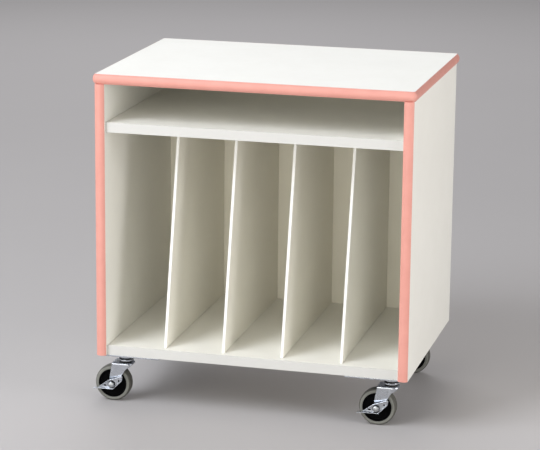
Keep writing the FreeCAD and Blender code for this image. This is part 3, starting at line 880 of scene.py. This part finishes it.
def fork_skirt(low, high, axle):
    """The flange that carries the legs' flared back edges round the crown's back."""
    top = high.z - RACE_HEIGHT - NECK_HEIGHT
    corner = CROWN_CORNER_RADIUS
    bend = (FORK_BEND_OUTSIDE, -FORK_BEND_OUTSIDE)
    lip = arc(bend, FORK_BEND_OUTSIDE, 180, 90, 5) + arc(bend, FORK_BEND_RADIUS, 90, 180, 3)
    turns = [math.radians(90 - 90 * step / SKIRT_STEPS) for step in range(SKIRT_STEPS + 1)]
    levels = []
    for side, order in ((1, turns), (-1, turns[::-1])):
        middle = Vector((high.x - corner, axle.y + side * ((high.y - low.y) / 2 - corner)))
        for turn in order:
            out = Vector((math.cos(turn), side * math.sin(turn)))
            travelled = corner * (turns[0] - turn)
            drop = max(SKIRT_START - LEG_FLARE_SLOPE * travelled, SKIRT_DROP)
            section = [(SHEET_EDGE, -drop), (0, SHEET_EDGE - drop)] + lip
            section += [(FORK_SHEET, SHEET_EDGE - drop), (FORK_SHEET - SHEET_EDGE, -drop)]
            spots = [(middle + out * (corner - inset), top + rise) for inset, rise in section]
            levels.append([(*spot, height) for spot, height in spots])
    return stack(levels)


def fork(name, place, axle):
    """The stamped fork with its race on top, and its zinc neck under the race made nearly black as
    painted shade for the race's shadow.
    """
    low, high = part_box(f"{name}_fork")
    crown = crown_height(name)
    seat = high.z - RACE_HEIGHT
    race = RACE_DIAMETER / 2
    neck = NECK_DIAMETER / 2
    profile = [(0, seat), (race - RACE_EDGE, seat)]
    profile += arc((race - RACE_EDGE, seat + RACE_EDGE), RACE_EDGE, -90, 0, 4)[1:]
    profile += arc((race - RACE_EDGE, high.z - RACE_EDGE), RACE_EDGE, 0, 90, 4)
    profile += [(0, high.z)]
    turned = moved(lathe(profile), on_axis(place))
    form = joined(fork_form(low, high, axle), fork_skirt(low, high, axle), turned)
    body = f"{name}_swivel"
    piece(f"{name}_stamped_fork", form, SHEET, body, [f"{name}_fork"])
    # The neck, nearly black: painted shade for the shadow under the race.
    waist = (neck - RACE_EDGE, (crown + seat) / 2)
    profile = [(0, crown), (neck, crown), waist, (neck, seat), (0, seat)]
    neck_shade = moved(lathe(profile), on_axis(place))
    piece(f"{name}_shaded_neck", neck_shade, GREASE_AND_SHADE, body)


def domed_nut(foot):
    """A nut on Z from its foot to its height: a hexagon below and a dome above."""
    base = (foot + NUT_HEIGHT) / 2
    radius = NUT_WIDTH / 2 - DOME_INSET
    dome = [(0, base - DOME_ROOT), (radius, base - DOME_ROOT)]
    for turn in range(0, 90, DOME_STEP):
        level = base + (NUT_HEIGHT - base) * math.sin(math.radians(turn))
        dome.append((radius * math.cos(math.radians(turn)), level))
    dome.append((0, NUT_HEIGHT))
    hexagon = moved(hex_form(NUT_WIDTH, base - foot), (0, 0, foot))
    return joined(hexagon, lathe(dome, 36))


def axle_bolt(name, axle):
    """The axle bolt: a hexagonal head behind and a domed nut on the near side."""
    low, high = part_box(f"{name}_axle_bolt")
    far_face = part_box(f"{name}_wheel_bush")[1].y + FORK_SHEET
    near_face = low.y + NUT_HEIGHT
    length = far_face - near_face
    backward = Matrix.Rotation(math.radians(-90), 4, "X")
    away = Matrix.Translation((axle.x, far_face, axle.z)) @ backward
    head = moved(hex_form(NUT_WIDTH, high.y - far_face), away)
    seat = Vector((axle.x, near_face, axle.z))
    nut = moved(domed_nut(COLLAR_HEIGHT if name in BRAKED else 0), along_axle(seat))
    shank = lathe([(0, 0), (AXLE_RADIUS, 0), (AXLE_RADIUS, length), (0, length)], 32)
    shank = moved(shank, along_axle(Vector((axle.x, far_face, axle.z))))
    form = joined(head, nut, shank)
    piece(f"{name}_axle", form, BOLTED, f"{name}_swivel", [f"{name}_axle_bolt"])
    if name in BRAKED:
        nut_shade_ring(name, seat)


def nut_shade_ring(name, seat):
    """A black collar under a braked caster's nut: painted shade for the dark groove round the nut.
    """
    edge = COLLAR_RADIUS - COLLAR_EDGE
    profile = [(AXLE_RADIUS, 0), (edge, 0), (COLLAR_RADIUS, COLLAR_EDGE)]
    profile += [(COLLAR_RADIUS, COLLAR_HEIGHT), (AXLE_RADIUS, COLLAR_HEIGHT)]
    collar = moved(lathe(profile, 36, closed=True), along_axle(seat))
    piece(f"{name}_nut_shade_ring", collar, NYLON_AND_SHADE, f"{name}_swivel")


def wheel_form(profile, axle):
    """A piece of a wheel, turned about its axle from one half of its closed profile."""
    return moved(lathe(mirrored(profile), WHEEL_SEGMENTS, closed=True), along_axle(axle))


def wheel_hub(name, axle):
    """The hub: a boss, a recessed web and a rim."""
    low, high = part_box(f"{name}_hub")
    tyre_low, tyre_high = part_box(f"{name}_tyre")
    face = (high.y - low.y) / 2
    seat = (high.z - low.z) / 2
    rim = (tyre_high.y - tyre_low.y) / 2 - HUB_RIM_INSET
    web = rim - HUB_RECESS
    inner = seat - HUB_RIM
    profile = [(HUB_BORE, face), (BOSS_RADIUS - HUB_EDGE, face), (BOSS_RADIUS, face - HUB_EDGE)]
    profile += [(BOSS_RADIUS, web + BOSS_FOOT), (BOSS_RADIUS + BOSS_FOOT, web)]
    profile += [(inner - WEB_BEND, web), (inner - WEB_BEND_INSET, web + HUB_EDGE)]
    profile += [(inner, web + WEB_BEND), (inner, rim - HUB_EDGE), (inner + HUB_EDGE, rim)]
    profile += [(seat - HUB_EDGE / 2, rim), (seat, rim - HUB_EDGE / 2)]
    hub = wheel_form(profile, axle)
    piece(f"{name}_wheel_hub", hub, NYLON_AND_SHADE, f"{name}_wheel", [f"{name}_hub"], smooth=40)


def tyre(name, axle):
    """The rounded tyre on the hub's rim, and its darker tread."""
    hub_low, hub_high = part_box(f"{name}_hub")
    low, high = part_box(f"{name}_tyre")
    seat = (hub_high.z - hub_low.z) / 2
    tread = (high.z - low.z) / 2
    half = (high.y - low.y) / 2
    body = f"{name}_wheel"
    centre = (tread - TYRE_SHOULDER - TREAD_SINK, half - TYRE_SHOULDER)
    shoulder = arc(centre, TYRE_SHOULDER, 90, SHOULDER_END, SHOULDER_STEPS)
    profile = [(seat, half - TREAD_SINK), (seat + TREAD_SINK, half)] + shoulder[:TREAD_START + 1]
    sides = wheel_form(profile, axle)
    piece(f"{name}_rubber_tyre", sides, RUBBER, body, [f"{name}_tyre"], smooth=60)
    profile = shoulder[TREAD_START:] + [(tread, TREAD_FLAT)]
    running = wheel_form(profile, axle)
    piece(f"{name}_tyre_tread", running, TREAD, body, smooth=60)


def inward(outline):
    """The direction into a closed outline at each of its points."""
    count = len(outline)
    insides = []
    for index in range(count):
        way = outline[(index + 1) % count] - outline[index - 1]
        insides.append(Vector((-way.y, way.x)).normalized())
    middle = sum(outline, Vector((0, 0))) / count
    if sum(inside.dot(middle - spot) for inside, spot in zip(insides, outline)) < 0:
        insides = [-inside for inside in insides]
    return insides


def lever_section():
    """The dish's sheet: (inset, depth) points and the outline's scale, from outside to inside."""
    lip = LEVER_SHEET / 2
    outer = (LEVER_BEND, LEVER_DEPTH - LEVER_BEND)
    inner = (LEVER_SHEET + LEVER_INNER_BEND, LEVER_DEPTH - LEVER_SHEET - LEVER_INNER_BEND)
    steps = [(spot, LEVER_FLOOR_SCALE) for spot in arc(outer, LEVER_BEND, 90, 180, 4)]
    steps += [(spot, 1) for spot in arc((lip, lip), lip, 180, 360, 6)]
    steps += [(spot, LEVER_FLOOR_SCALE) for spot in arc(inner, LEVER_INNER_BEND, 180, 90, 3)]
    return steps


def lever_shell(axle, front):
    """The lever's dish, with two slots in its floor."""

    def placed(spots, depth):
        """Points about the axle as places at this depth behind the lever's front."""
        return [(axle.x + spot.x, front + depth, axle.z + spot.y) for spot in spots]

    outline = rounded(LEVER_RIM)
    insides = inward(outline)
    levels = []
    for (inset, depth), scale in lever_section():
        spots = [spot * scale + inside * inset for spot, inside in zip(outline, insides)]
        levels.append(placed(spots, depth))
    holes = []
    for u, v, half_u, half_v in LEVER_SLOTS:
        corners = rounded(rectangle(half_u, half_v, min(half_u, half_v) * SLOT_ROUNDNESS))
        spots = [spot + Vector((u, v)) for spot in corners]
        holes.append([placed(spots, LEVER_DEPTH), placed(spots, LEVER_DEPTH - LEVER_SHEET)])
    return stack(levels, holes)


def brake_lever(name, axle):
    """The dished brake lever with its boss and its foot pedal."""
    node = f"{name}_brake_lever"
    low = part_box(node)[0]
    shell = lever_shell(axle, low.y)
    profile = [(LEVER_BORE, 0), (LEVER_BOSS_RADIUS, 0)]
    profile += [(LEVER_BOSS_RADIUS, LEVER_BOSS_HEIGHT), (LEVER_BORE, LEVER_BOSS_HEIGHT)]
    boss = lathe(profile, 36, closed=True)
    boss_base = low.y + LEVER_DEPTH + LEVER_BOSS_HEIGHT
    boss = moved(boss, along_axle(Vector((axle.x, boss_base, axle.z))))
    reach = low.x - axle.x
    end = -LEVER_WAIST - PEDAL_DROP
    outline = [(reach, end), (-PEDAL_ROOT, -LEVER_WAIST)]
    outline += [(u, v + LEVER_SHEET) for u, v in reversed(outline)]
    pedal = soften(prism(outline, "y", low.y, low.y + PEDAL_WIDTH), SHEET_EDGE)
    pedal = moved(pedal, (axle.x, 0, axle.z))
    form = joined(shell, boss, pedal)
    piece(f"{name}_brake_pedal", form, SHEET, f"{name}_brake", [node], smooth=40)


def casters():
    """The four casters, of which the front two have brakes."""
    places = {joint["name"]: Vector(joint["pos_m"]) for joint in frame["joints"]}
    for name in CASTERS:
        place = places[f"{name}_swivel_turn"]
        axle = places[f"{name}_wheel_spin"]
        swivel_head(name, place)
        bearing(name, place)
        kingpin(name, place)
        fork(name, place, axle)
        axle_bolt(name, axle)
        wheel_hub(name, axle)
        tyre(name, axle)
        if name in BRAKED:
            brake_lever(name, axle)
        bush = frame["nodes"][f"{name}_wheel_bush"]
        bush.data.materials.clear()
        bush.data.materials.append(BOLTED)


# Studio and camera


def studio_floor():
    """A plain pale floor."""
    bm = bmesh.new()
    bmesh.ops.create_grid(bm, x_segments=1, y_segments=1, size=FLOOR_REACH)
    mesh = bpy.data.meshes.new("studio_floor")
    bm.to_mesh(mesh)
    bm.free()
    mesh.materials.append(PALE_FLOOR)
    floor = bpy.data.objects.new("studio_floor", mesh)
    bpy.context.scene.collection.objects.link(floor)


def studio_light():
    """Soft light from all round, and the softboxes."""
    world = bpy.data.worlds.new("studio")
    world.use_nodes = True
    background = world.node_tree.nodes["Background"]
    background.inputs["Color"].default_value = (1, 1, 1, 1)
    background.inputs["Strength"].default_value = ROOM_LIGHT
    bpy.context.scene.world = world
    bpy.context.scene.view_settings.view_transform = "Standard"
    for name, settings in SOFTBOXES.items():
        softbox(name, *settings)


def softbox(name, place, size, power, tint):
    """A square area light that faces the cart."""
    lamp = bpy.data.lights.new(name, "AREA")
    lamp.size = size
    lamp.energy = power
    lamp.color = tint
    item = bpy.data.objects.new(name, lamp)
    item.location = place
    item.rotation_euler = (LIT_POINT - Vector(place)).to_track_quat("-Z", "Y").to_euler()
    bpy.context.scene.collection.objects.link(item)


def camera():
    """The photograph's viewpoint, without shift or depth of field."""
    yaw, pitch, roll = (math.radians(turn) for turn in (CAMERA_YAW, CAMERA_PITCH, CAMERA_ROLL))
    level = Vector((-math.sin(yaw), math.cos(yaw), 0))
    forward = level * math.cos(pitch) - Vector((0, 0, math.sin(pitch)))
    right = Vector((math.cos(yaw), math.sin(yaw), 0))
    up = right.cross(forward)
    rolled_right = right * math.cos(roll) + up * math.sin(roll)
    rolled_up = up * math.cos(roll) - right * math.sin(roll)
    turn = Matrix((rolled_right, rolled_up, -forward)).transposed().to_4x4()
    data = bpy.data.cameras.new("camera")
    data.sensor_width = SENSOR_WIDTH
    data.lens = FOCAL_PIXELS / IMAGE_WIDTH * SENSOR_WIDTH
    item = bpy.data.objects.new("camera", data)
    item.matrix_world = Matrix.Translation(CAMERA_PLACE) @ turn
    bpy.context.scene.collection.objects.link(item)
    bpy.context.scene.camera = item


boards()
side_boards()
edge_strips()
dividers()
top_band()
side_bands()
rails()
caster_screws()
back_screws()
casters()
studio_floor()
studio_light()
camera()
